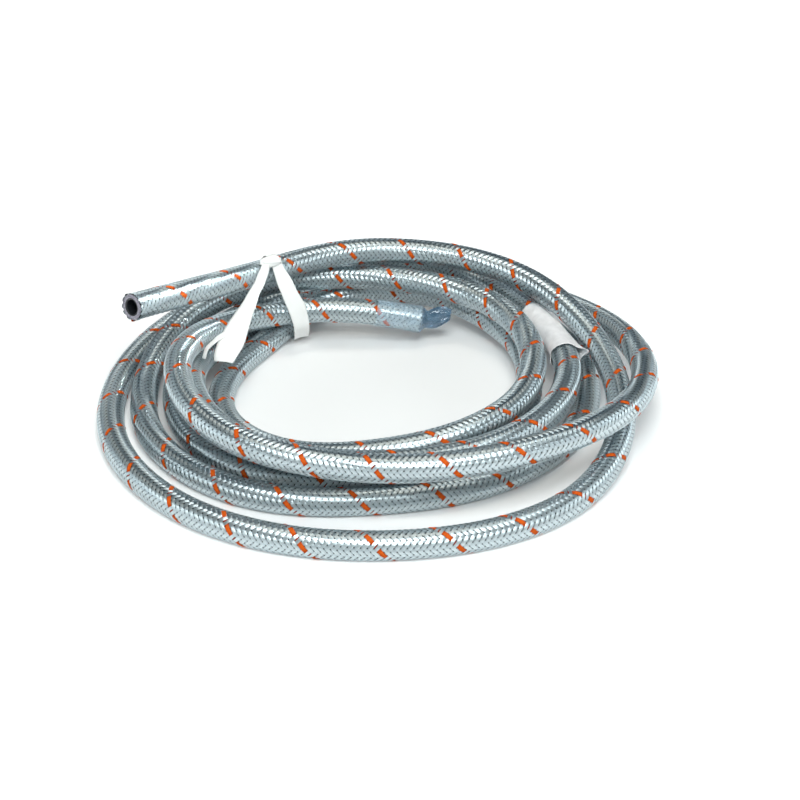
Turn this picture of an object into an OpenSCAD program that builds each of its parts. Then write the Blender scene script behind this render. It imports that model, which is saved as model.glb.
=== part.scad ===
// Steel-braided rubber gas hose for a caravan regulator, 4.4 m long, coiled and tied.
// The part rests on z = 0. The origin is the middle of its footprint. Units: mm.

/* [Hose] */
// Outside diameter over the steel braid
hose_od = 15; // [10:0.5:20]
// Outside diameter of the rubber tube
tube_od = 12.8; // [8:0.2:18]
// Bore of the rubber tube
bore_d = 8; // [5:0.5:12]
// Straight run of hose behind end A, past the last bend
tail_len = 88; // [60:1:120]
// Height of the flat that the lowest loops stand on, as a share of the diameter
flat_share = 0.1; // [0.05:0.01:0.15]

/* [Paper label] */
// Thickness of the paper
label_t = 0.3; // [0.2:0.05:0.4]
// First station of the coil that the label covers
label_from = 10.0; // [9:0.333:11]
// Length of the loose paper flap
label_flap = 15; // [6:1:20]

/* [Film on end B] */
// Thickness of the film sleeve
film_t = 0.25; // [0.1:0.05:0.4]
// Width over the pinched neck
neck_w = 5; // [3:0.5:8]
// Length of the flared film past the neck
flare_len = 17; // [8:1:25]
// Width of the flared end
flare_w = 13; // [8:1:20]

/* [Tie ribbon] */
// Width of the ribbon
ribbon_w = 10.5; // [6:0.5:14]
// Thickness of the ribbon
ribbon_t = 0.4; // [0.3:0.1:0.8]
// Length of the knot along the ribbon's width
knot_w = 13; // [8:1:18]
// Height of the knot
knot_h = 4.4; // [3:0.2:8]

/* [Hidden] */

// Middle of the coil's footprint, in the frame that the stations are measured in
middle = [-0.88, 11.935, 0];

// Sides of a coiled tube, and rings in one loop
sides = 6;
loop_rings = 24;

// A station stands every 45 degrees, clockwise from above, and a loop has eight:
// back, back right, right, front right, front, front left, left, back left.
// Reach of each loop's middle line from the coil's centre
reach = [
  99, 104.3,
  114.2, 121.7, 129, 134, 130, 137, 144.7, 149.6,
  150, 119.5, 101.6, 88, 82, 92, 100.5, 113,
  137.5, 133.5, 112.5, 96.5, 91.7, 110.4, 127.3, 133.9,
  107, 98.5, 82, 68, 60.5, 73, 85.3, 96,
  120.5, 104, 80, 78.5, 74, 93.1, 109.2, 130.2,
  153.9, 151.2, 143, 121, 103, 107, 106, 99,
  83, 97
];

// Height of each loop's middle line over the floor
lift = [
  74, 48.3,
  44.9, 38.8, 16.5, 6, 6, 6, 6, 12,
  25.5, 20.6, 20.6, 20.8, 21, 22.2, 20.6, 8.5,
  6, 6, 6, 6, 6, 6, 6, 23,
  30.4, 28.3, 22.4, 20, 14, 10, 6, 6,
  16, 12, 6, 6, 6, 6, 6, 6,
  6, 14, 25, 35, 32, 35, 36.2, 24,
  19.5, 6
];

// The coil starts at station 1 and ends a little past station 50
first_u = 1;
last_full_u = 50;
last_u = 50.15;

// The exact tail starts one diameter along the straight run behind end A
coil_straight = hose_od;
tail_exact = tail_len - coil_straight;
// Lowest that a middle line lies, so that the tube is cut by the floor
low_line = hose_od * (0.5 - flat_share);
braid_wall = (hose_od - tube_od) / 2;

// Smooth curve through four neighbouring stations
function curve(a, b, c, d, t) = 0.5 * (
  2 * b + (c - a) * t + (2 * a - 5 * b + 4 * c - d) * t * t
  + (3 * b - a - 3 * c + d) * t * t * t);

function pick(list, i) = list[min(max(i, 0), len(list) - 1)];

// A value of a station list between its stations
function along(list, u) =
  let (i = floor(u))
  curve(pick(list, i - 1), pick(list, i), pick(list, i + 1), pick(list, i + 2), u - i);

function compass(u) = 180 - 45 * u;

// Middle line of the hose at station u
function line_at(u) = [
  along(reach, u) * cos(compass(u)) - middle.x,
  along(reach, u) * sin(compass(u)) - middle.y,
  max(along(lift, u), low_line)
];

function unit(v) = v / norm(v);
function side_of(t) = unit(cross(t, [0, 0, 1]));
function over_of(t) = cross(side_of(t), t);

// Straight directions out of the coil at end A and at end B
out_a = unit(line_at(first_u) - line_at(first_u + 0.02));
out_b = unit(line_at(last_u) - line_at(last_u - 0.02));
end_a_join = line_at(first_u) + coil_straight * out_a;
end_b = line_at(last_u) + hose_od * out_b;

// Middle line of the whole coil, ring by ring
step_u = 8 / loop_rings;
rings = concat(
  [end_a_join],
  [for (u = [first_u : step_u : last_full_u + 0.01]) line_at(u)],
  [line_at(last_u), end_b]
);
count = len(rings);

// Direction of the hose at ring i
function heading(line, i) =
  i == 0 ? unit(line[1] - line[0])
  : i == len(line) - 1 ? unit(line[i] - line[i - 1])
  : unit(unit(line[i + 1] - line[i]) + unit(line[i] - line[i - 1]));

// One ring of points around the middle line, not lower than the floor
function ring(c, t, rx, ry, floor_z) = [
  for (k = [0 : sides - 1])
    let (p = c + rx * cos(k * 360 / sides) * side_of(t)
               + ry * sin(k * 360 / sides) * over_of(t))
    [p.x, p.y, max(p.z, floor_z)]
];

// Two triangles for each side between ring a and ring b
function wall(a, b, flip) = [
  for (k = [0 : sides - 1])
    let (n = (k + 1) % sides)
    each flip
      ? [[a + k, b + k, b + n], [a + k, b + n, a + n]]
      : [[a + k, b + n, b + k], [a + k, a + n, b + n]]
];

// A hollow tube along a list of middle points
module hollow_tube(line, headings, r_out, r_in, floor_out, floor_in) {
  n = len(line);
  outer = [for (i = [0 : n - 1]) each ring(line[i], headings[i], r_out, r_out, floor_out)];
  inner = [for (i = [0 : n - 1]) each ring(line[i], headings[i], r_in, r_in, floor_in)];
  m = n * sides;
  faces = concat(
    [for (i = [0 : n - 2]) each wall(i * sides, (i + 1) * sides, false)],
    [for (i = [0 : n - 2]) each wall(m + i * sides, m + (i + 1) * sides, true)],
    wall(m, 0, false),
    wall((n - 1) * sides, m + (n - 1) * sides, false)
  );
  polyhedron(points = concat(outer, inner), faces = faces, convexity = 10);
}

// A sleeve over the end of the hose whose wall runs on past it and closes. The first
// "covered" rings lie round the hose
module capped_sleeve(line, headings, half_w, half_h, covered, r_in) {
  n = len(line);
  outer = [for (i = [0 : n - 1]) each ring(line[i], headings[i], half_w[i], half_h[i], 0)];
  inner = [for (i = [0 : covered - 1]) each ring(line[i], headings[i], r_in, r_in, 0)];
  m = n * sides;
  nose = m - sides;
  stop = m + (covered - 1) * sides;
  faces = concat(
    [for (i = [0 : n - 2]) each wall(i * sides, (i + 1) * sides, false)],
    [for (i = [0 : covered - 2]) each wall(m + i * sides, m + (i + 1) * sides, true)],
    wall(m, 0, false),
    [for (k = [1 : sides - 2]) [nose, nose + k, nose + k + 1]],
    [for (k = [1 : sides - 2]) [stop, stop + k + 1, stop + k]]
  );
  polyhedron(points = concat(outer, inner), faces = faces, convexity = 6);
}

headings_all = [for (i = [0 : count - 1]) heading(rings, i)];

// Least distance between the surfaces of two stretches of the coil, on points
// along the middle line that are at least half a loop apart
fine = [
  for (i = [0 : count - 2])
    for (f = [0 : 0.25 : 0.75])
      rings[i] * (1 - f) + rings[i + 1] * f
];
apart = 2 * loop_rings;
least_gap = min([
  for (i = [0 : len(fine) - apart - 1])
    for (j = [i + apart : len(fine) - 1])
      norm(fine[i] - fine[j])
]) - hose_od;
run = [for (i = [0 : count - 2]) norm(rings[i + 1] - rings[i])];
function total(list, i = 0) = i < len(list) ? list[i] + total(list, i + 1) : 0;
echo(least_gap_mm = least_gap);
echo(hose_length_mm = total(run) + tail_exact);
echo(bore_mouth = end_a_join + tail_exact * out_a, bore_way = out_a);
echo(end_b = end_b, stand = line_at(6));

// Woven steel braid over the coiled hose
module braid_coil() {
  color("silver")
    difference() {
      hollow_tube(rings, headings_all, hose_od / 2, tube_od / 2, 0, braid_wall);
      ribbon_bed();
    }
}

// Rubber gas tube inside the coiled hose
module tube_coil() {
  color("dimgray")
    hollow_tube(rings, headings_all, tube_od / 2, bore_d / 2, braid_wall, braid_wall + 0.5);
}

// Puts its children on the straight tail, with +Z towards end A
module on_tail() {
  lean = acos(out_a.z);
  turn = atan2(out_a.y, out_a.x);
  translate(end_a_join)
    rotate([0, lean, turn])
      children();
}

// Exact round pipe of the straight tail
module tail_pipe(od, id) {
  difference() {
    cylinder(d = od, h = tail_exact, $fn = 48);
    translate([0, 0, -1])
      cylinder(d = id, h = tail_exact + 2, $fn = 48);
  }
}

// Woven steel braid over the straight tail at end A
module braid_tail() {
  color("lightgray")
    on_tail()
      tail_pipe(hose_od, tube_od);
}

// Rubber gas tube inside the straight tail, with the open bore at end A
module tube_tail() {
  color("black")
    on_tail()
      tail_pipe(tube_od, bore_d);
}

// Blank paper label wrapped round one stretch of the upper inner loop
label_ring = round((label_from + 1 - first_u) / step_u) + 1;
module paper_label() {
  line = [for (i = [0 : 2]) rings[label_ring + i]];
  heads = [for (i = [0 : 2]) headings_all[label_ring + i]];
  r = hose_od / 2;
  side = side_of(heads[2]);
  over = over_of(heads[2]);
  root = line[2] + r * side * cos(60) + r * over * sin(60);
  tip = root + label_flap * heads[2] * 0.3 + label_flap * side * 0.9;
  color("white") {
    hollow_tube(line, heads, r + label_t, r, 0, 0);
    hull() {
      translate(root + 0.2 * over)
        cube(label_t, center = true);
      translate(root - 12 * heads[2] + 0.2 * over)
        cube(label_t, center = true);
      translate(tip)
        cube(label_t, center = true);
    }
  }
}

// Clear film pulled over end B, pinched shut and flared past the end
film_steps = [1, 3, 6, 10, flare_len];
module end_film() {
  r = hose_od / 2;
  out_r = r + film_t;
  covered = [for (i = [count - 3 : count - 1]) i];
  color("aliceblue")
    capped_sleeve(
      concat([for (i = covered) rings[i]], [for (s = film_steps) end_b + s * out_b]),
      concat([for (i = covered) headings_all[i]], [for (s = film_steps) out_b]),
      [out_r, out_r, out_r, out_r, r * 0.75, neck_w / 2, neck_w * 0.7, flare_w / 2],
      [out_r, out_r, out_r, out_r, r * 0.7, neck_w / 2.4, neck_w * 0.4, 0.6],
      len(covered),
      r
    );
}

// Tie ribbon: bearing, reach and height of the loop's middle line
tie_loop = [
  [125, 106.5, 54.2],
  [125.3, 100.6, 54.6],
  [125.5, 96.6, 49.5],
  [122.5, 84.5, 26.5],
  [120.5, 84.5, 15.5],
  [117.5, 97.2, 4.2],
  [117, 103, 0.6],
  [117, 112, 0.2],
  [117, 145, 0.2],
  [117.5, 153, 5],
  [118.5, 160.3, 16],
  [119.5, 158, 24],
  [123, 114.5, 51.5]
];
// Free end of the ribbon, from the knot towards the front left, and how far its
// width is turned from the X axis
tie_end = [
  [128, 99, 55.2, 29],
  [132, 95, 51.8, 12],
  [138.5, 90.8, 46, -4],
  [146, 87.2, 42, -10],
  [156, 84.2, 38.5, -8],
  [167, 83.7, 35.5, -8],
  [174, 86.3, 31, -12]
];
tie_bearing = 119;

// Middle of the knot, and how far it leans over the front of the top loop
knot_at = [128, 99, 55];
knot_lean = -45;

function polar(p) = [p[1] * cos(p[0]) - middle.x, p[1] * sin(p[0]) - middle.y, p[2]];

// Ribbon tied round the whole coil, its knot on the top loop
module tie_ribbon() {
  loop_points = [for (p = tie_loop) polar(p)];
  n = len(loop_points);
  end_points = [for (p = tie_end) polar(p)];
  color("white") {
    for (i = [0 : n - 1])
      hull() {
        translate(loop_points[i])
          ribbon_bar(tie_bearing + 90);
        translate(loop_points[(i + 1) % n])
          ribbon_bar(tie_bearing + 90);
      }
    for (i = [0 : len(end_points) - 2])
      hull() {
        translate(end_points[i])
          ribbon_bar(tie_end[i][3]);
        translate(end_points[i + 1])
          ribbon_bar(tie_end[i + 1][3]);
      }
    translate(polar(knot_at))
      rotate([0, 0, tie_bearing + 90])
        rotate([knot_lean, 0, 0])
        scale([knot_w, knot_w * 0.75, knot_h])
          sphere(d = 1, $fn = 12);
  }
}

// Cross-section of the ribbon at one point of its path
module ribbon_bar(turn) {
  rotate([0, 0, turn])
    cube([ribbon_w, ribbon_t, ribbon_t], center = true);
}

// Room for the ribbon under the lowest loops
module ribbon_bed() {
  low = polar([117, 100, 0]);
  high = polar([117, 156, 0]);
  hull() {
    translate(low)
      rotate([0, 0, tie_bearing + 90])
        cube([ribbon_w + 1, 1, 2 * ribbon_t + 0.1], center = true);
    translate(high)
      rotate([0, 0, tie_bearing + 90])
        cube([ribbon_w + 1, 1, 2 * ribbon_t + 0.1], center = true);
  }
}

braid_coil();
tube_coil();
braid_tail();
tube_tail();
paper_label();
end_film();
tie_ribbon();
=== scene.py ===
import math

import bpy
import numpy as np
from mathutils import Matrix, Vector


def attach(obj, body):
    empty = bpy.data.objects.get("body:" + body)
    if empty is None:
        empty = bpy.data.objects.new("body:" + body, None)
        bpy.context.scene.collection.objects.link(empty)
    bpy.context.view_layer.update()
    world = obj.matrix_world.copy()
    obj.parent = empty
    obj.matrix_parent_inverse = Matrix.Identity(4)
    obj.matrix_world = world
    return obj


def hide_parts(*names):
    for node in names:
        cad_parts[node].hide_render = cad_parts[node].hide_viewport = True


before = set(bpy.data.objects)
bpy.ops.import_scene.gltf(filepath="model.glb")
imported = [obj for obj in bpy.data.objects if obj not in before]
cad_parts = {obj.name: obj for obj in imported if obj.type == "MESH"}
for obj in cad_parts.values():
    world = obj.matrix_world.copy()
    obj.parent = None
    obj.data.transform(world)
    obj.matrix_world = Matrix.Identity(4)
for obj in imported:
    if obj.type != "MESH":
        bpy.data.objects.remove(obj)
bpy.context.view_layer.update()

# ---------------------------------------------------------------- rubber gas tube
# An extruded black rubber tube with an 8 mm bore carries the gas. It lies in six loose
# loops and a short tail, wound clockwise from the raised end A down to end B, and
# shows only in the cut face of end A and as darkness between the wires of the braid.
MM = 0.001
HOSE_OD = 15 * MM
HOSE_R = HOSE_OD / 2
CORE_R = 6.7 * MM
CORE_COLS = 32
CORE_STEP = 3 * MM
TAIL_LEN = 88 * MM
MIDDLE = (-0.88 * MM, 11.935 * MM)
LINE_STEP = 1 * MM
BEND_STEP = 0.01
SPREAD = 7
# The middle line stays above the first of these, and skin below the second is pressed flat
LOW_LINE = 6 * MM
LOW_SKIN = 0.3 * MM

# Reach from the middle and height of the hose, in mm, at a station every 45 degrees
REACH = [
    99, 104.3,
    114.2, 121.7, 129, 134, 130, 137, 144.7, 149.6,
    150, 119.5, 101.6, 88, 82, 92, 100.5, 113,
    137.5, 133.5, 112.5, 96.5, 91.7, 110.4, 127.3, 133.9,
    107, 98.5, 82, 68, 60.5, 73, 85.3, 96,
    120.5, 104, 80, 78.5, 74, 93.1, 109.2, 130.2,
    153.9, 151.2, 143, 121, 103, 107, 106, 99,
    83, 97,
]
LIFT = [
    74, 48.3,
    44.9, 38.8, 16.5, 6, 6, 6, 6, 12,
    25.5, 20.6, 20.6, 20.8, 21, 22.2, 20.6, 8.5,
    6, 6, 6, 6, 6, 6, 6, 23,
    30.4, 28.3, 22.4, 20, 14, 10, 6, 6,
    16, 12, 6, 6, 6, 6, 6, 6,
    6, 14, 25, 35, 32, 35, 36.2, 24,
    19.5, 6,
]
# Stations where the bends begin and end; a straight run goes on from each
FIRST_U = 1.0
LAST_U = 50.15


def eased(near, t):
    """A smooth value between the middle two of four neighbours, t of the way."""
    a, b, c, d = near
    bend = (c - a) * t + (2 * a - 5 * b + 4 * c - d) * t * t + (3 * b - a - 3 * c + d) * t ** 3
    return 0.5 * (2 * b + bend)


def along(values, u):
    """A value of a station list between its stations."""
    i = int(math.floor(u))
    return eased([values[min(max(i + k, 0), len(values) - 1)] for k in (-1, 0, 1, 2)], u - i)


def from_middle(bearing, reach, height):
    """A point given by its bearing from the coil's middle, its reach and its height in mm."""
    a = math.radians(bearing)
    return np.array([
        reach * MM * math.cos(a) - MIDDLE[0],
        reach * MM * math.sin(a) - MIDDLE[1],
        height * MM,
    ])


def line_at(u):
    """The hose's middle line at station u."""
    height = max(along(LIFT, u), LOW_LINE / MM)
    return from_middle(180 - 45 * u, along(REACH, u), height)


def straight_run(start, inner, length):
    """Points on the straight run from start, away from inner."""
    way = (start - inner) / np.linalg.norm(start - inner)
    return [start + way * d for d in np.arange(LINE_STEP, length + LINE_STEP / 2, LINE_STEP)]


def evenly(points, step):
    """The same line with points a fixed step apart."""
    run = np.r_[0, np.cumsum(np.linalg.norm(np.diff(points, axis=0), axis=1))]
    places = np.linspace(0, run[-1], int(round(run[-1] / step)) + 1)
    return np.stack([np.interp(places, run, points[:, k]) for k in range(3)], -1)


def spread_out(values, steps):
    """The same row of values with each change spread over a few steps."""
    reach = 2 * steps
    weights = np.exp(-0.5 * (np.arange(-reach, reach + 1) / steps) ** 2)
    weights /= weights.sum()
    values = values.reshape(len(values), -1)
    ends = 2 * values[0] - values[reach:0:-1], 2 * values[-1] - values[-2:-reach - 2:-1]
    padded = np.vstack([ends[0], values, ends[1]])
    return np.stack([np.convolve(col, weights, "valid") for col in padded.T], -1)


bends = [line_at(u) for u in np.arange(FIRST_U, LAST_U, BEND_STEP)] + [line_at(LAST_U)]
run_a = straight_run(bends[0], line_at(FIRST_U + 2 * BEND_STEP), TAIL_LEN)
run_b = straight_run(bends[-1], line_at(LAST_U - 2 * BEND_STEP), HOSE_OD)
middle_line = evenly(np.array(run_a[::-1] + bends + run_b), LINE_STEP)
middle_line = evenly(spread_out(middle_line, SPREAD), LINE_STEP)
HOSE_LEN = float(np.linalg.norm(np.diff(middle_line, axis=0), axis=1).sum())
line_run = np.linspace(0, HOSE_LEN, len(middle_line))

# Directions along the hose, and two across it that never twist round it
heading = np.gradient(middle_line, axis=0)
heading /= np.linalg.norm(heading, axis=1)[:, None]
across = np.zeros_like(heading)
across[0] = np.cross(heading[0], (0, 0, 1))
across[0] /= np.linalg.norm(across[0])
for i in range(1, len(heading)):
    v = across[i - 1] - heading[i] * np.dot(across[i - 1], heading[i])
    across[i] = v / np.linalg.norm(v)
below = np.cross(heading, across)


def on_hose(s, angle, radius):
    """Points round the hose: s along it from end A, turned right-handed by angle."""
    s, angle, radius = np.broadcast_arrays(np.asarray(s, float), angle, radius)
    inside = np.clip(s, 0, HOSE_LEN)
    base, way, side, down = (
        np.stack([np.interp(inside, line_run, field[:, k]) for k in range(3)], -1)
        for field in (middle_line, heading, across, below)
    )
    ring = side * np.cos(angle)[..., None] + down * np.sin(angle)[..., None]
    point = base + way * (s - inside)[..., None] + ring * radius[..., None]
    sunk = LOW_SKIN * np.exp((point[..., 2] - LOW_SKIN) / (10 * LOW_SKIN))
    point[..., 2] = np.where(point[..., 2] < LOW_SKIN, sunk, point[..., 2])
    return point


def grid_mesh(name, grids, maps=None, wrap=False, slots=None, rise=None):
    """A piece made of grids of points, rows by columns, each facing right of its rows."""
    verts, faces, corners, marks = [], [], [], []
    base = 0
    for g, grid in enumerate(grids):
        rows, cols = grid.shape[:2]
        i = np.arange(rows - 1)[:, None]
        j = np.arange(cols if wrap else cols - 1)[None, :]
        n = (j + 1) % cols
        quad = np.stack([i * cols + j, i * cols + n, (i + 1) * cols + n, (i + 1) * cols + j], -1)
        quad = quad.reshape(-1, 4)
        faces.append(quad + base)
        verts.append(grid.reshape(-1, 3))
        if maps is not None:
            corners.append(maps[g].reshape(-1, 2)[quad].reshape(-1, 2))
        marks.append(np.full(len(quad), 0 if slots is None else slots[g]))
        base += rows * cols
    verts, faces, marks = (np.concatenate(part) for part in (verts, faces, marks))
    mesh = bpy.data.meshes.new(name)
    mesh.vertices.add(len(verts))
    mesh.vertices.foreach_set("co", verts.astype(np.float32).ravel())
    mesh.loops.add(faces.size)
    mesh.loops.foreach_set("vertex_index", faces.astype(np.int32).ravel())
    mesh.polygons.add(len(faces))
    mesh.polygons.foreach_set("loop_start", np.arange(0, faces.size, 4, dtype=np.int32))
    mesh.polygons.foreach_set("loop_total", np.full(len(faces), 4, dtype=np.int32))
    mesh.polygons.foreach_set("material_index", marks.astype(np.int32))
    mesh.update(calc_edges=True)
    mesh.polygons.foreach_set("use_smooth", np.ones(len(faces), dtype=bool))
    if maps is not None:
        layer = mesh.uv_layers.new(name="lay")
        layer.data.foreach_set("uv", np.concatenate(corners).astype(np.float32).ravel())
    if rise is not None:
        height = mesh.attributes.new("rise", "FLOAT", "POINT")
        heights = np.concatenate([r.ravel() for r in rise])
        height.data.foreach_set("value", heights.astype(np.float32))
    mesh.validate()
    obj = bpy.data.objects.new(name, mesh)
    bpy.context.scene.collection.objects.link(obj)
    return obj


def finish_of(name):
    """A new material, with its node tree and its Principled BSDF."""
    mat = bpy.data.materials.new(name)
    mat.use_nodes = True
    return mat, mat.node_tree, mat.node_tree.nodes["Principled BSDF"]


def node_group(name, sockets_in, sockets_out):
    """An empty shader node group with named sockets, its way in and its way out."""
    group = bpy.data.node_groups.new(name, "ShaderNodeTree")
    for socket, kind in sockets_in:
        group.interface.new_socket(socket, in_out="INPUT", socket_type="NodeSocket" + kind)
    for socket, kind in sockets_out:
        group.interface.new_socket(socket, in_out="OUTPUT", socket_type="NodeSocket" + kind)
    return group, group.nodes.new("NodeGroupInput"), group.nodes.new("NodeGroupOutput")


def effect(tree, group, place, **values):
    """A shared effect set in a material, fed with a place and with its own values."""
    node = tree.nodes.new("ShaderNodeGroup")
    node.node_tree = group
    tree.links.new(place, node.inputs["Place"])
    for socket, value in values.items():
        node.inputs[socket].default_value = value
    return node


def wandering_colour():
    """Colour that wanders between dark and light over a surface, and the mask behind it."""
    group, way_in, way_out = node_group(
        "wandering_colour",
        [("Place", "Vector"), ("Scale", "Float"), ("Low", "Float"), ("High", "Float"),
         ("Dark", "Color"), ("Light", "Color")],
        [("Colour", "Color"), ("Mask", "Float")],
    )
    noise = group.nodes.new("ShaderNodeTexNoise")
    group.links.new(way_in.outputs["Place"], noise.inputs["Vector"])
    group.links.new(way_in.outputs["Scale"], noise.inputs["Scale"])
    level = group.nodes.new("ShaderNodeMapRange")
    group.links.new(noise.outputs["Fac"], level.inputs["Value"])
    group.links.new(way_in.outputs["Low"], level.inputs["From Min"])
    group.links.new(way_in.outputs["High"], level.inputs["From Max"])
    shade = group.nodes.new("ShaderNodeMix")
    shade.data_type = "RGBA"
    group.links.new(level.outputs["Result"], shade.inputs["Factor"])
    group.links.new(way_in.outputs["Dark"], shade.inputs["A"])
    group.links.new(way_in.outputs["Light"], shade.inputs["B"])
    group.links.new(shade.outputs["Result"], way_out.inputs["Colour"])
    group.links.new(noise.outputs["Fac"], way_out.inputs["Mask"])
    return group


WANDERING_COLOUR = wandering_colour()


def speckle(tree, scale, low, high, dark, light):
    """The wandering colour set in a material, steady on its object."""
    spot = tree.nodes.new("ShaderNodeTexCoord")
    return effect(tree, WANDERING_COLOUR, spot.outputs["Object"], Scale=scale, Low=low,
                  High=high, Dark=(*dark, 1), Light=(*light, 1))


def relief(tree, bsdf, height, strength, depth):
    """Fine relief on a material from a node's height output."""
    bump = tree.nodes.new("ShaderNodeBump")
    bump.inputs["Strength"].default_value = strength
    bump.inputs["Distance"].default_value = depth
    tree.links.new(height, bump.inputs["Height"])
    tree.links.new(bump.outputs["Normal"], bsdf.inputs["Normal"])


# Depth in from the end and radius, in mm: the cut face from its outer edge in to the black
# lining, the lining, the bore down to where it is dark, and the face at end B
FACE_ROWS = [(0, 6.7), (-0.3, 6.9), (-0.45, 6.6), (-0.4, 5.8), (-0.5, 5.2), (-0.45, 4.9)]
LINING_ROWS = [(-0.45, 4.9), (-0.5, 4.7), (-0.35, 4.3), (0, 4)]
BORE_ROWS = [(0, 4), (1, 3.9), (6, 4), (20, 4), (45, 4), (45, 0.02)]
BACK_ROWS = [(0, 6.7), (0, 0.02)]

core_side = np.linspace(0, 2 * math.pi, CORE_COLS, endpoint=False)[None, ::-1]
core_s = np.append(np.arange(0, HOSE_LEN - MM, CORE_STEP), HOSE_LEN)[:, None]
tube_grids = [on_hose(core_s, core_side, CORE_R)]
turned_in = core_side[:, ::-1]
for start, side, ring_rows in (
    (0, turned_in, FACE_ROWS), (0, turned_in, LINING_ROWS), (0, turned_in, BORE_ROWS),
    (HOSE_LEN, core_side, BACK_ROWS),
):
    depth, ring = np.array(ring_rows).T[..., None] * MM
    tube_grids.append(on_hose(start + depth, side, ring))
tube = grid_mesh("rubber_tube", tube_grids, wrap=True, slots=[0, 1, 0, 0, 0])

black_rubber, tree, bsdf = finish_of("black_gas_rubber")
dust = speckle(tree, 900, 0.3, 0.7, (0.004, 0.005, 0.007), (0.018, 0.02, 0.024))
tree.links.new(dust.outputs["Colour"], bsdf.inputs["Base Color"])
bsdf.inputs["Roughness"].default_value = 0.42
cut_rubber, tree, bsdf = finish_of("cut_gas_rubber")
crumb = speckle(tree, 1300, 0.35, 0.65, (0.16, 0.15, 0.19), (0.42, 0.4, 0.46))
relief(tree, bsdf, crumb.outputs["Mask"], 0.5, 0.2 * MM)
tree.links.new(crumb.outputs["Colour"], bsdf.inputs["Base Color"])
bsdf.inputs["Roughness"].default_value = 0.7
tube.data.materials.append(black_rubber)
tube.data.materials.append(cut_rubber)
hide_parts("tube_coil", "tube_tail")
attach(tube, "root")

# ---------------------------------------------------------------- woven steel braid
# Twenty-four flat bundles of bright steel wire, twelve wound each way, pass over two
# and under two of the others and grip the tube. One right-handed bundle is an orange
# tracer. The machine's pull varies, so the lay drifts a little along the hose.
PITCH = 36.3 * MM
CARRIERS = 12
LAY_R = 7.2 * MM
OVER_R = 7.36 * MM
UNDER_R = 7.08 * MM
CROWN = 0.15 * MM
BUNDLE_W = 1.72 * MM
TRACER_W = 2.2 * MM
TRACER_PROUD = 0.1 * MM
SLANT = math.atan2(2 * math.pi * LAY_R, PITCH)
FLARE_LEN = 5 * MM
FLARE = 0.45 * MM
BUNDLE_COLS = 3
TRACER_COLS = 5
DRIFT_SPREAD = 10

# Distance from end A in mm, and by how many turns the lay is ahead of an even one
DRIFT = [
    (0, 0.22), (23, 0.13), (71, -0.11), (115, -0.3), (154, -0.36), (190, -0.39),
    (227, -0.31), (294, -0.22), (436, -0.25), (509, -0.32), (577, -0.3), (650, -0.22),
    (719, -0.13), (797, -0.1), (1216, 0.36), (1243, 0.39), (1283, 0.34), (1516, 0.12),
    (1793, 0.33), (1820, 0.57), (1886, 0.82), (1928, 0.71), (2002, 0.51), (2034, 0.64),
    (2073, 0.55), (2145, 0.6), (2184, 0.55), (2221, 0.48), (2250, 0.3), (2306, 0.35),
    (2343, 0.36), (2423, 0.28), (2485, 0.4), (2513, 0.56), (2544, 0.72), (2574, 0.93),
    (2605, 1), (2679, 0.91), (2760, 1), (2820, 1.13), (2892, 1.25), (2959, 1.41),
    (3029, 1.59), (3088, 1.87), (3117, 2.05), (3341, 1.62), (3384, 1.47), (3830, 1.4),
    (3852, 1.62), (3885, 1.7), (3926, 1.55), (3966, 1.44), (3998, 1.45), (4068, 1.53),
    (4136, 1.7), (4211, 1.76), (4281, 1.9), (4354, 2.04), (4411, 2.13),
]
even_drift = np.interp(line_run / MM, *np.array(DRIFT).T)
lay_drift = spread_out(even_drift, DRIFT_SPREAD)[:, 0]

rows = np.arange(0, int(HOSE_LEN * 2 * CARRIERS / PITCH) + 1)
row_s = rows * PITCH / (2 * CARRIERS)
row_drift = np.interp(row_s, line_run, lay_drift)
flare = FLARE * np.clip(1 - row_s / FLARE_LEN, 0, 1) ** 2


def bundle(hand, k):
    """Points, UVs and height of bundle k of the twelve that wind one way."""
    tracer = hand > 0 and k == 0
    on_top = np.isin((2 * k + hand * rows) % 4, (0, 1) if hand > 0 else (2, 3))
    radius = np.where(on_top, OVER_R + (TRACER_PROUD if tracer else 0), UNDER_R) + flare
    angle = 2 * math.pi * (k / CARRIERS + hand * row_s / PITCH + row_drift)
    edges = np.linspace(-1, 1, TRACER_COLS if tracer else BUNDLE_COLS)[None, ::hand]
    half = edges * (TRACER_W if tracer else BUNDLE_W) / 2
    s = row_s[:, None] - half * math.sin(SLANT)
    turn = angle[:, None] + hand * half * math.cos(SLANT) / LAY_R
    grid = on_hose(s, turn, radius[:, None] - CROWN * edges ** 2)
    uv = np.stack(np.broadcast_arrays((edges + 1) / 2, row_s[:, None] / PITCH), -1)
    rise = np.broadcast_to(on_top[:, None].astype(float), grid.shape[:2])
    return grid, uv, rise


def laid_wires():
    """Round wires laid side by side in a bundle: a mask that is high on their crests."""
    group, way_in, way_out = node_group(
        "laid_wires", [("Place", "Vector"), ("Wires", "Float")], [("Crest", "Float")])
    split = group.nodes.new("ShaderNodeSeparateXYZ")
    group.links.new(way_in.outputs["Place"], split.inputs["Vector"])
    last = split.outputs["X"]
    for step, other in (("MULTIPLY", way_in.outputs["Wires"]), ("MULTIPLY", math.pi),
                        ("SINE", None), ("ABSOLUTE", None)):
        node = group.nodes.new("ShaderNodeMath")
        node.operation = step
        group.links.new(last, node.inputs[0])
        if isinstance(other, float):
            node.inputs[1].default_value = other
        elif other is not None:
            group.links.new(other, node.inputs[1])
        last = node.outputs[0]
    group.links.new(last, way_out.inputs["Crest"])
    return group


LAID_WIRES = laid_wires()


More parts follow.
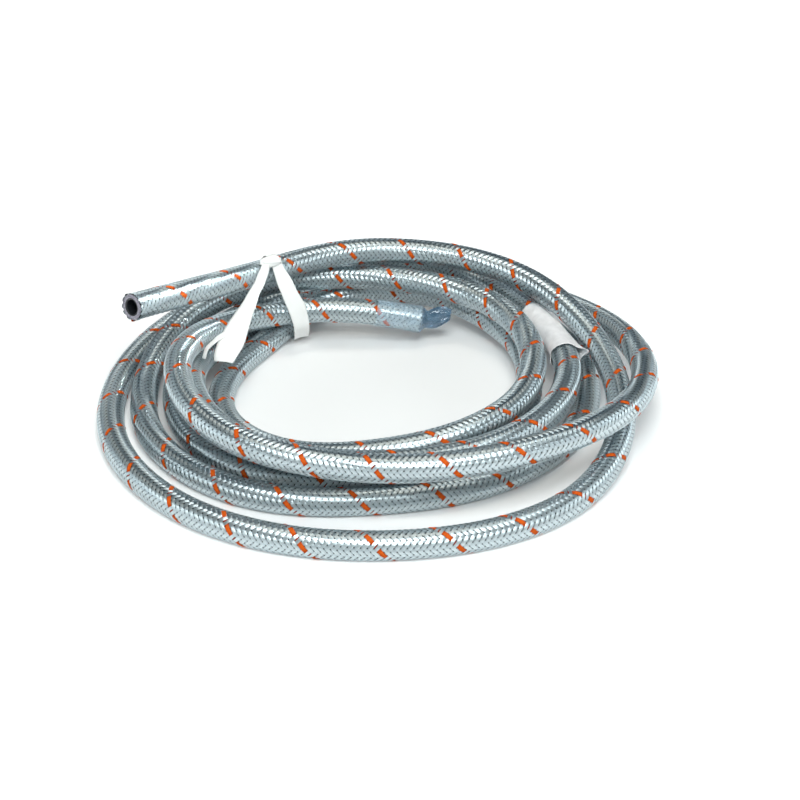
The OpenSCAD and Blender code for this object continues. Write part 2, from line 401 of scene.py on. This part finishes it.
def wire_finish(name, groove_shade, crest, under_shade, wires):
    """Wire laid in a flat bundle, with painted shade between its wires and where other bundles
    cross over it.
    """
    mat, tree, bsdf = finish_of(name)
    place = tree.nodes.new("ShaderNodeUVMap")
    place.uv_map = "lay"
    laid = effect(tree, LAID_WIRES, place.outputs["UV"], Wires=wires)
    relief(tree, bsdf, laid.outputs["Crest"], 0.5, 0.08 * MM)
    # Painted shade: the colour is darker between the laid wires than on their crests
    shade = tree.nodes.new("ShaderNodeMix")
    shade.data_type = "RGBA"
    shade.inputs["A"].default_value = (*groove_shade, 1)
    shade.inputs["B"].default_value = (*crest, 1)
    tree.links.new(laid.outputs["Crest"], shade.inputs["Factor"])
    # Painted shade: where a bundle runs below crossing bundles, its colour is darkened
    rise = tree.nodes.new("ShaderNodeAttribute")
    rise.attribute_name = "rise"
    depth = tree.nodes.new("ShaderNodeMix")
    depth.data_type = "RGBA"
    depth.inputs["A"].default_value = (*under_shade, 1)
    tree.links.new(rise.outputs["Fac"], depth.inputs["Factor"])
    tree.links.new(shade.outputs["Result"], depth.inputs["B"])
    tree.links.new(depth.outputs["Result"], bsdf.inputs["Base Color"])
    return mat, tree, bsdf


# Colours: painted shade between wires, wire crests, painted shade below crossing bundles
steel, tree, bsdf = wire_finish(
    "bright_braid_wire", (0.2, 0.3, 0.38), (0.86, 0.93, 0.93), (0.46, 0.54, 0.58), 4)
bsdf.inputs["Metallic"].default_value = 1
bsdf.inputs["Roughness"].default_value = 0.42
bsdf.inputs["Anisotropic"].default_value = 0.85
lie = tree.nodes.new("ShaderNodeTangent")
lie.direction_type = "UV_MAP"
lie.uv_map = "lay"
tree.links.new(lie.outputs["Tangent"], bsdf.inputs["Tangent"])
# Colours: painted shade between strands, strand crests, painted shade below crossing bundles
orange, tree, bsdf = wire_finish(
    "orange_tracer_yarn", (0.44, 0.05, 0.006), (0.74, 0.125, 0.008), (0.3, 0.03, 0.006), 5)
bsdf.inputs["Roughness"].default_value = 0.65
bsdf.inputs["Specular IOR Level"].default_value = 0.12

for name, hand in (("braid_right_hand", 1), ("braid_left_hand", -1)):
    grids, maps, rises = zip(*(bundle(hand, k) for k in range(CARRIERS)))
    marks = [1 if hand > 0 and k == 0 else 0 for k in range(CARRIERS)]
    braid = grid_mesh(name, grids, maps, slots=marks, rise=rises)
    braid.data.materials.append(steel)
    if hand > 0:
        braid.data.materials.append(orange)
    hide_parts("braid_coil", "braid_tail")
    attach(braid, "root")

# ---------------------------------------------------------------- paper label
# A blank strip of white paper is glued round one stretch of the inner upper loop. Its
# lower end has come loose, stands off like a skirt and has one long lifted corner.
LABEL_U = (11.09, 11.685)
LABEL_R = HOSE_R + 0.3 * MM
LABEL_T = 0.2 * MM
LABEL_ROWS = 60
LABEL_COLS = 145
SEAM_SIDE = math.radians(150)
# Widths round the hose are in radians. A higher curve keeps a lift nearer the loose end
SKIRT_LIFT = 0.8 * MM
SKIRT_CURVE = 9
CORNER_LIFT = 4.6 * MM
CORNER_RUN = 2.5 * MM
CORNER_SIDE = math.radians(-68)
CORNER_WIDE = 0.24
CORNER_CURVE = 7
TAB_LIFT = 1.2 * MM
TAB_RUN = 9 * MM
TAB_SIDE = math.radians(84)
TAB_WIDE = 0.17
TAB_CURVE = 14
# A fold across the label, placed and sized in shares of its length
FOLD_LIFT = 0.35 * MM
FOLD_AT = 0.13
FOLD_SWAY = 0.04
FOLD_WIDE = 0.035

# Creases in the paper: depth in mm, waves round it and drift along it
LABEL_CREASES = [(0.14, 5, 9), (0.1, 3, -19)]
GLUED_CREASE = 0.3


def run_at(u):
    """How far station u is from end A along the hose."""
    return float(line_run[np.argmin(np.linalg.norm(middle_line - line_at(u), axis=1))])


def up_turn(s):
    """The angle round the hose that faces up, s along it."""
    i = int(round(s / LINE_STEP))
    return math.atan2(below[i][2], across[i][2])


def thicken(piece, thickness, offset=0.0):
    """Gives a sheet its thickness."""
    wall = piece.modifiers.new("thickness", "SOLIDIFY")
    wall.thickness = thickness
    wall.offset = offset


def sheet_map(rows, cols):
    """UVs of a sheet, across it and along it."""
    u, v = np.meshgrid(np.linspace(0, 1, cols), np.linspace(0, 1, rows))
    return np.stack([u, v], -1)


label_share = np.linspace(0, 1, LABEL_ROWS)[:, None]
label_start, label_stop = (run_at(u) for u in LABEL_U)
label_side = SEAM_SIDE - np.linspace(0, 2 * math.pi, LABEL_COLS)[None, :]
creases = sum(
    depth * np.sin(waves * label_side + drift * label_share)
    for depth, waves, drift in LABEL_CREASES
)
corner = np.exp(-((label_side - CORNER_SIDE) / CORNER_WIDE) ** 2) * label_share ** CORNER_CURVE
tab = np.exp(-((label_side - TAB_SIDE) / TAB_WIDE) ** 4) * label_share ** TAB_CURVE
fold_at = FOLD_AT + FOLD_SWAY * np.sin(2 * label_side)
fold_line = np.exp(-((label_share - fold_at) / FOLD_WIDE) ** 2)
label_out = (
    creases * (GLUED_CREASE + label_share) * MM
    + SKIRT_LIFT * label_share ** SKIRT_CURVE
    + CORNER_LIFT * corner
    + TAB_LIFT * tab
    + FOLD_LIFT * fold_line
)
label_s = label_start + label_share * (label_stop - label_start)
label_run = label_s + CORNER_RUN * corner + TAB_RUN * tab
label_grid = on_hose(label_run, up_turn(label_stop) + label_side, LABEL_R + label_out)
label = grid_mesh("label_strip", [label_grid], [sheet_map(LABEL_ROWS, LABEL_COLS)])
thicken(label, LABEL_T)

white_paper, tree, bsdf = finish_of("blank_white_paper")
pulp = speckle(tree, 260, 0.3, 0.75, (0.8, 0.79, 0.8), (0.93, 0.92, 0.93))
relief(tree, bsdf, pulp.outputs["Mask"], 0.25, 0.15 * MM)
tree.links.new(pulp.outputs["Colour"], bsdf.inputs["Base Color"])
bsdf.inputs["Roughness"].default_value = 0.5
label.data.materials.append(white_paper)
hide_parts("paper_label")
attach(label, "root")

# ---------------------------------------------------------------- film on end B
# A clear bluish film bag is pulled over the lower end of the hose, gathered tight just
# past it and twisted, so that its mouth stands out as a small creased fan.
FILM_GAP = 0.25 * MM
FILM_T = 0.12 * MM
FILM_COLS = 96
FILM_TURN = math.radians(-20)
MOUTH_STEPS = 3
FOLDS = 7
FINE_FOLDS = 13
FINE_DEPTH = 0.5
WRINKLE = 0.1 * MM
WRINKLE_WAVES = 3
WRINKLE_RUN = 3 * MM
GATHER = 0.3 * MM
GATHER_RUN = 4 * MM
CREASE = 0.45 * MM
CREASE_RUN = 5 * MM
MID_CREASE = 0.4
WIDE_CREASE = 0.5

# Sleeve: distance past the end of the hose and how far it stands off it, in mm
SLEEVE_ROWS = [
    (-26, 0.3), (-25.4, 0.1), (-23, 0.25), (-20, 0.05), (-16, 0.2), (-12, 0.05), (-8, 0.2),
    (-5, 0.1), (-3, 0.15), (-1.5, 0.1), (-0.3, 0.0),
]
# Gathered mouth: distance past the end, half its width and depth, and its rise, in mm
MOUTH_ROWS = [
    (0.5, 7.3, 7.1, 0), (1.4, 6.5, 5.9, 0.1), (2.6, 5.3, 4.2, 0.3), (3.8, 4.9, 3.0, 0.6),
    (5.2, 5.5, 2.3, 1.1), (7, 6.1, 1.9, 1.8), (9, 6.4, 1.7, 2.7), (11, 6.2, 1.6, 3.6),
    (13, 5.6, 1.5, 4.5), (15, 4.7, 1.3, 5.3), (16.8, 3.7, 1.1, 5.9), (18, 2.9, 0.8, 6.3),
]


def smooth_rows(points, steps, closed=False):
    """A smooth line through a few rows of numbers."""
    points = np.array(points, float)
    n = len(points)
    line = []
    for i in range(n if closed else n - 1):
        near = [(i + k) % n if closed else min(max(i + k, 0), n - 1) for k in (-1, 0, 1, 2)]
        line += [eased(points[near], t) for t in np.linspace(0, 1, steps, endpoint=False)]
    if not closed:
        line.append(points[-1])
    return np.array(line)


film_side = np.linspace(0, 2 * math.pi, FILM_COLS, endpoint=False)[None, :]
film_turn = up_turn(HOSE_LEN - MM) + FILM_TURN
fold = np.cos(FOLDS * film_side) + FINE_DEPTH * np.cos(FINE_FOLDS * film_side + 1)
sleeve_past, sleeve_off = (col[:, None] for col in np.array(SLEEVE_ROWS).T * MM)
wrinkle = WRINKLE * np.sin(WRINKLE_WAVES * film_side + sleeve_past / WRINKLE_RUN)
gather = GATHER * fold * np.exp(sleeve_past / GATHER_RUN)
sleeve = on_hose(
    HOSE_LEN + sleeve_past,
    film_turn + film_side,
    HOSE_R + FILM_GAP + sleeve_off + (wrinkle + gather),
)
mouth_past, mouth_wide, mouth_deep, mouth_rise = (
    col[:, None] for col in smooth_rows(MOUTH_ROWS, MOUTH_STEPS).T * MM)
wide_way = math.cos(film_turn) * across[-1] + math.sin(film_turn) * below[-1]
deep_way = np.cross(heading[-1], wide_way)
crease = CREASE * fold * np.cos(mouth_past / CREASE_RUN)
# The creases are deepest at the fan's two edges
edge_crease = crease * (MID_CREASE + (1 - MID_CREASE) * np.abs(np.cos(film_side)))
half_wide = (mouth_wide + WIDE_CREASE * crease) * np.cos(film_side)
half_deep = mouth_deep * np.sin(film_side) + edge_crease
mouth = (
    middle_line[-1]
    + mouth_past[..., None] * heading[-1]
    + half_wide[..., None] * wide_way
    + half_deep[..., None] * deep_way
)
mouth[..., 2] += mouth_rise
gathered = np.r_[np.zeros(len(sleeve)), np.ones(len(mouth))][:, None] * np.ones_like(film_side)
film_grid = np.concatenate([sleeve, mouth])[:, ::-1]
film = grid_mesh("film_bag", [film_grid], wrap=True, rise=[gathered])
thicken(film, FILM_T)

clear_film, tree, bsdf = finish_of("clear_bluish_film")
wander = speckle(tree, 220, 0.35, 0.7, (0.06, 0.15, 0.25), (0.24, 0.38, 0.52))
haze = tree.nodes.new("ShaderNodeMapRange")
haze.inputs["From Min"].default_value = 0.4
haze.inputs["From Max"].default_value = 0.75
haze.inputs["To Min"].default_value = 0.12
haze.inputs["To Max"].default_value = 0.3
tree.links.new(wander.outputs["Mask"], haze.inputs["Value"])
# The gathered mouth is many layers deep, so it is cloudier and bluer than the sleeve
layers = tree.nodes.new("ShaderNodeAttribute")
layers.attribute_name = "rise"
cloudy = tree.nodes.new("ShaderNodeMath")
cloudy.operation = "MULTIPLY_ADD"
cloudy.inputs[1].default_value = 0.34
tree.links.new(layers.outputs["Fac"], cloudy.inputs[0])
tree.links.new(haze.outputs["Result"], cloudy.inputs[2])
tree.links.new(cloudy.outputs[0], bsdf.inputs["Alpha"])
tint = tree.nodes.new("ShaderNodeMix")
tint.data_type = "RGBA"
tint.inputs["A"].default_value = (0.62, 0.8, 0.94, 1)
tree.links.new(layers.outputs["Fac"], tint.inputs["Factor"])
tree.links.new(wander.outputs["Colour"], tint.inputs["B"])
tree.links.new(tint.outputs["Result"], bsdf.inputs["Base Color"])
relief(tree, bsdf, wander.outputs["Mask"], 0.25, 0.3 * MM)
bsdf.inputs["Roughness"].default_value = 0.1
bsdf.inputs["Coat Weight"].default_value = 0.5
bsdf.inputs["Coat Roughness"].default_value = 0.05
film.data.materials.append(clear_film)
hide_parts("end_film")
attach(film, "root")

# ---------------------------------------------------------------- tie ribbon
# One white ribbon holds the whole coil. It goes round all the loops behind end A, is
# drawn narrow into a knot on the top loop, and its two ends hang over the coil.
RIBBON_T = 0.4 * MM
RIBBON_W = 14 * MM
RIBBON_COLS = 9
RIBBON_STEPS = 6
CURL = 0.7 * MM
# Pleats run along the ribbon, deepest where it is narrow
PLEAT = 0.12 * MM
PLEAT_WAVES = 2.5 * math.pi
PLEAT_DRIFT = 0.3
PLEAT_FULL = 1.2
ALONG_HOSE = (math.cos(math.radians(209)), math.sin(math.radians(209)), 0)

# Bearing, reach and height of the band in mm, and its width
BAND = [
    (125.3, 105.8, 54.9, 5.5), (125.5, 100.8, 54, 6), (125.7, 96.8, 50, 6.8),
    (125.6, 92, 44.5, 9), (124.8, 87.8, 37, 9.6), (123.6, 84.8, 30, 10.6),
    (122.6, 83.6, 23, 10), (121.6, 84.4, 15.5, 9.4), (119, 93, 5, 9), (117.5, 103, 0.8, 10),
    (117, 112, 0.5, 10), (117, 128, 0.5, 10), (117, 145, 0.5, 10), (117.5, 153.5, 4.5, 10),
    (118.5, 160, 14, 10), (119.5, 157.3, 22.5, 10), (120, 150, 26, 10), (121, 139, 32, 9),
    (122.5, 125, 41.5, 8), (124, 113.7, 50.3, 6.5), (124.8, 109.8, 53.4, 6),
]
# Bearing, reach and height of the two free ends, their width, and the width's direction
LONG_END = [
    (129, 100, 55.2, 3.5, 29), (132, 95.4, 53.8, 5, 12), (134.8, 92.8, 51.2, 5.6, 0),
    (136.9, 91.4, 48.6, 5.8, -6), (139.6, 90.6, 46, 6.3, -10), (146, 87.2, 42.2, 8.6, -10),
    (156.1, 83.8, 38.8, 12.2, -8), (165.5, 82.4, 35.5, 14.6, -12), (171.5, 83.6, 31.5, 13, -20),
    (174, 84.2, 29, 11, -24),
]
SHORT_END = [
    (129, 99.6, 54.6, 3, 29), (132.5, 94.8, 52.8, 4, 12), (136.9, 91.4, 47.6, 4.5, -15),
    (146, 87.8, 41, 4.5, -40), (160, 87, 37.2, 4.5, -60), (165.8, 90.5, 35.8, 4, -70),
    (168.3, 95.2, 31.5, 3.5, -60), (170, 96.4, 26.5, 3, -50),
]


def ribbon_grid(places, widths, ways):
    """A strip of ribbon along a line, wide along the given directions, gently curled."""
    run = np.gradient(places, axis=0)
    run /= np.linalg.norm(run, axis=1)[:, None]
    wide = ways - run * np.sum(ways * run, axis=1)[:, None]
    wide /= np.linalg.norm(wide, axis=1)[:, None]
    face = np.cross(run, wide)
    edge = np.linspace(-1, 1, RIBBON_COLS)[None, :]
    steps = np.arange(len(places))[:, None]
    spread = widths[:, None] / RIBBON_W
    pleat = PLEAT * np.cos(PLEAT_WAVES * edge + PLEAT_DRIFT * steps) * (PLEAT_FULL - spread)
    lift = pleat - CURL * spread * edge ** 2
    half = (widths[:, None] / 2) * edge
    grid = places[:, None] + half[..., None] * wide[:, None] + lift[..., None] * face[:, None]
    grid[..., 2] = np.maximum(grid[..., 2], RIBBON_T / 2)
    return grid


band_line = smooth_rows(BAND, RIBBON_STEPS, closed=True)
band_places = np.array([from_middle(*p[:3]) for p in band_line])
band_ways = np.tile(ALONG_HOSE, (len(band_line), 1))
band_grid = ribbon_grid(
    np.vstack([band_places, band_places[:1]]),
    np.append(band_line[:, 3], band_line[0, 3]) * MM,
    np.vstack([band_ways, band_ways[:1]]),
)
ribbon_grids = [band_grid]
for end in (LONG_END, SHORT_END):
    line = smooth_rows(end, RIBBON_STEPS)
    turn = np.radians(line[:, 4])
    ways = np.stack([np.cos(turn), np.sin(turn), 0 * turn], -1)
    places = np.array([from_middle(*p[:3]) for p in line])
    ribbon_grids.append(ribbon_grid(places, line[:, 3] * MM, ways))

# The knot, a pulled-tight lump of pleats on the front of the top loop
KNOT = (127.6, 99.5, 55.1)
KNOT_LONG = 12.5 * MM
KNOT_WIDE = 6.6 * MM
KNOT_THICK = 4.6 * MM
KNOT_LEAN = math.radians(45)
KNOT_ROWS = 25
KNOT_COLS = 49
ROUND_PLEATS = 7
ROUND_DEPTH = 0.09
PLEAT_TWIST = 3
CROSS_PLEATS = 5
CROSS_DEPTH = 0.07

knot_way = np.array(ALONG_HOSE)
knot_in = np.cross((0, 0, 1), knot_way)
knot_face = math.sin(KNOT_LEAN) * knot_in + math.cos(KNOT_LEAN) * np.array((0, 0, 1))
knot_side = np.cross(knot_face, knot_way)
fore = np.linspace(0, math.pi, KNOT_ROWS)[:, None]
about = np.linspace(0, 2 * math.pi, KNOT_COLS)[None, :]
lumps = 1 + ROUND_DEPTH * np.cos(ROUND_PLEATS * about + PLEAT_TWIST * fore) * np.sin(fore)
lumps = lumps + CROSS_DEPTH * np.cos(CROSS_PLEATS * fore + about)
knot_grid = (
    from_middle(*KNOT)
    + (KNOT_LONG / 2 * np.cos(fore) * lumps)[..., None] * knot_way
    + (KNOT_WIDE / 2 * np.sin(fore) * np.cos(about) * lumps)[..., None] * knot_side
    + (KNOT_THICK / 2 * np.sin(fore) * np.sin(about) * lumps)[..., None] * knot_face
)
maps = [sheet_map(*g.shape[:2]) for g in ribbon_grids]
ribbon = grid_mesh("ribbon_band", ribbon_grids, maps)
thicken(ribbon, RIBBON_T)
knot = grid_mesh("ribbon_knot", [knot_grid], [sheet_map(KNOT_ROWS, KNOT_COLS)])

white_ribbon, tree, bsdf = finish_of("white_tie_ribbon")
lustre = speckle(tree, 120, 0.3, 0.75, (0.92, 0.92, 0.9), (0.97, 0.97, 0.96))
tree.links.new(lustre.outputs["Colour"], bsdf.inputs["Base Color"])
weave = tree.nodes.new("ShaderNodeTexWave")
weave.inputs["Scale"].default_value = 900
weave.inputs["Distortion"].default_value = 0.3
spot = tree.nodes.new("ShaderNodeTexCoord")
tree.links.new(spot.outputs["Object"], weave.inputs["Vector"])
relief(tree, bsdf, weave.outputs["Fac"], 0.2, 0.1 * MM)
bsdf.inputs["Roughness"].default_value = 0.55
for piece in (ribbon, knot):
    piece.data.materials.append(white_ribbon)
    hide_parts("tie_ribbon")
    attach(piece, "root")

# ---------------------------------------------------------------- studio
# A pale floor under a soft light tent, brightest above the front and dark behind. One
# large lamp stands over the front of the coil, with weak ones above, behind, at both
# sides and low in front, and a narrow one on the straight run of end A.
bpy.ops.mesh.primitive_plane_add(size=60, location=(0, 0, 0))
floor = bpy.context.object
floor.name = "studio_floor"
floor_white, tree, bsdf = finish_of("studio_floor_white")
bsdf.inputs["Base Color"].default_value = (0.88, 0.88, 0.88, 1)
bsdf.inputs["Roughness"].default_value = 0.95
bsdf.inputs["Specular IOR Level"].default_value = 0.1
bsdf.inputs["Emission Color"].default_value = (1, 1, 1, 1)
# It glows only for the camera, in reflections and through clear pieces, least near the coil
rays = tree.nodes.new("ShaderNodeLightPath")
seen = tree.nodes.new("ShaderNodeMath")
seen.operation = "MAXIMUM"
tree.links.new(rays.outputs["Is Camera Ray"], seen.inputs[0])
tree.links.new(rays.outputs["Is Glossy Ray"], seen.inputs[1])
seen_too = tree.nodes.new("ShaderNodeMath")
seen_too.operation = "MAXIMUM"
tree.links.new(seen.outputs[0], seen_too.inputs[0])
tree.links.new(rays.outputs["Is Transmission Ray"], seen_too.inputs[1])
place = tree.nodes.new("ShaderNodeTexCoord")
away = tree.nodes.new("ShaderNodeVectorMath")
away.operation = "LENGTH"
tree.links.new(place.outputs["Object"], away.inputs[0])
level = tree.nodes.new("ShaderNodeMapRange")
level.inputs["From Min"].default_value = 0.12
level.inputs["From Max"].default_value = 0.3
level.inputs["To Min"].default_value = 0.06
level.inputs["To Max"].default_value = 0.9
tree.links.new(away.outputs["Value"], level.inputs["Value"])
glow = tree.nodes.new("ShaderNodeMath")
glow.operation = "MULTIPLY"
tree.links.new(seen_too.outputs[0], glow.inputs[0])
tree.links.new(level.outputs["Result"], glow.inputs[1])
tree.links.new(glow.outputs[0], bsdf.inputs["Emission Strength"])
floor.data.materials.append(floor_white)

world = bpy.data.worlds.new("studio_world")
bpy.context.scene.world = world
world.use_nodes = True
tree = world.node_tree
sky = tree.nodes["Background"]
place = tree.nodes.new("ShaderNodeTexCoord")
side = tree.nodes.new("ShaderNodeVectorMath")
side.operation = "DOT_PRODUCT"
side.inputs[1].default_value = (0, -0.6, 0.8)
tree.links.new(place.outputs["Generated"], side.inputs[0])
ramp = tree.nodes.new("ShaderNodeValToRGB")
tent = ramp.color_ramp.elements
tent[0].position = 0.0
tent[0].color = (0.12, 0.2, 0.28, 1)
tent[1].position = 1.0
tent[1].color = (0.8, 0.79, 0.72, 1)
for spot, colour in ((0.3, (0.26, 0.36, 0.42, 1)), (0.6, (0.58, 0.64, 0.64, 1))):
    tent.new(spot).color = colour
tree.links.new(side.outputs["Value"], ramp.inputs["Fac"])
tree.links.new(ramp.outputs["Color"], sky.inputs["Color"])
sky.inputs["Strength"].default_value = 0.3


def soft_lamp(name, place, aim, power, size, colour, spread=180):
    """A square soft lamp that faces a point."""
    data = bpy.data.lights.new(name, "AREA")
    data.color = colour
    data.energy = power
    data.size = size
    data.spread = math.radians(spread)
    lamp = bpy.data.objects.new(name, data)
    lamp.location = place
    lamp.rotation_euler = (Vector(aim) - Vector(place)).to_track_quat("-Z", "Y").to_euler()
    bpy.context.scene.collection.objects.link(lamp)


# Place and aim in metres, power in watts, size in metres, colour, and spread in degrees
soft_lamp("key_lamp", (0.05, -0.57, 0.82), (0, 0, 0), 7.6, 0.45, (0.95, 1, 1))
soft_lamp("top_lamp", (0, 0.12, 1), (0, 0, 0), 1.8, 0.35, (1, 0.94, 0.84))
soft_lamp("back_lamp", (-0.16, 0.93, 0.34), (0, 0, 0), 0.8, 0.35, (0.95, 1, 1))
soft_lamp("right_lamp", (0.91, 0.12, 0.38), (0, 0, 0), 1.8, 0.35, (0.9, 0.98, 1))
soft_lamp("left_lamp", (-0.93, -0.15, 0.34), (0, 0, 0), 1.3, 0.35, (0.9, 0.98, 1))
soft_lamp("low_lamp", (0, -1.3, 0.24), (0, 0, 0.02), 1.0, 0.5, (0.85, 0.95, 1))
soft_lamp("tail_lamp", (0.184, 0.147, 0.288), (-0.125, 0.005, 0.066), 0.022, 0.08, (0.95, 1, 1), 12)

# The camera looks down on the coil from the front
LENS_PX = 1628.0
FRAME_PX = 800
CAM_DIST = 885 * MM
CAM_ELEV = math.radians(31)
AIM_PX = (379.0, 415.0)
cam_data = bpy.data.cameras.new("front_camera")
cam_data.sensor_width = 36
cam_data.lens = cam_data.sensor_width * LENS_PX / FRAME_PX
cam_data.clip_start = 0.05
camera = bpy.data.objects.new("front_camera", cam_data)
bpy.context.scene.collection.objects.link(camera)
cam_back = CAM_DIST * math.cos(CAM_ELEV)
camera.location = (-MIDDLE[0], -cam_back - MIDDLE[1], CAM_DIST * math.sin(CAM_ELEV))
yaw = math.atan((FRAME_PX / 2 - AIM_PX[0]) / LENS_PX / math.cos(CAM_ELEV))
pitch = math.atan((AIM_PX[1] - FRAME_PX / 2) / LENS_PX) - CAM_ELEV
look = Vector((math.sin(yaw) * math.cos(pitch), math.cos(yaw) * math.cos(pitch), math.sin(pitch)))
camera.rotation_euler = look.to_track_quat("-Z", "Y").to_euler()
bpy.context.scene.camera = camera
bpy.context.scene.view_settings.view_transform = "Standard"
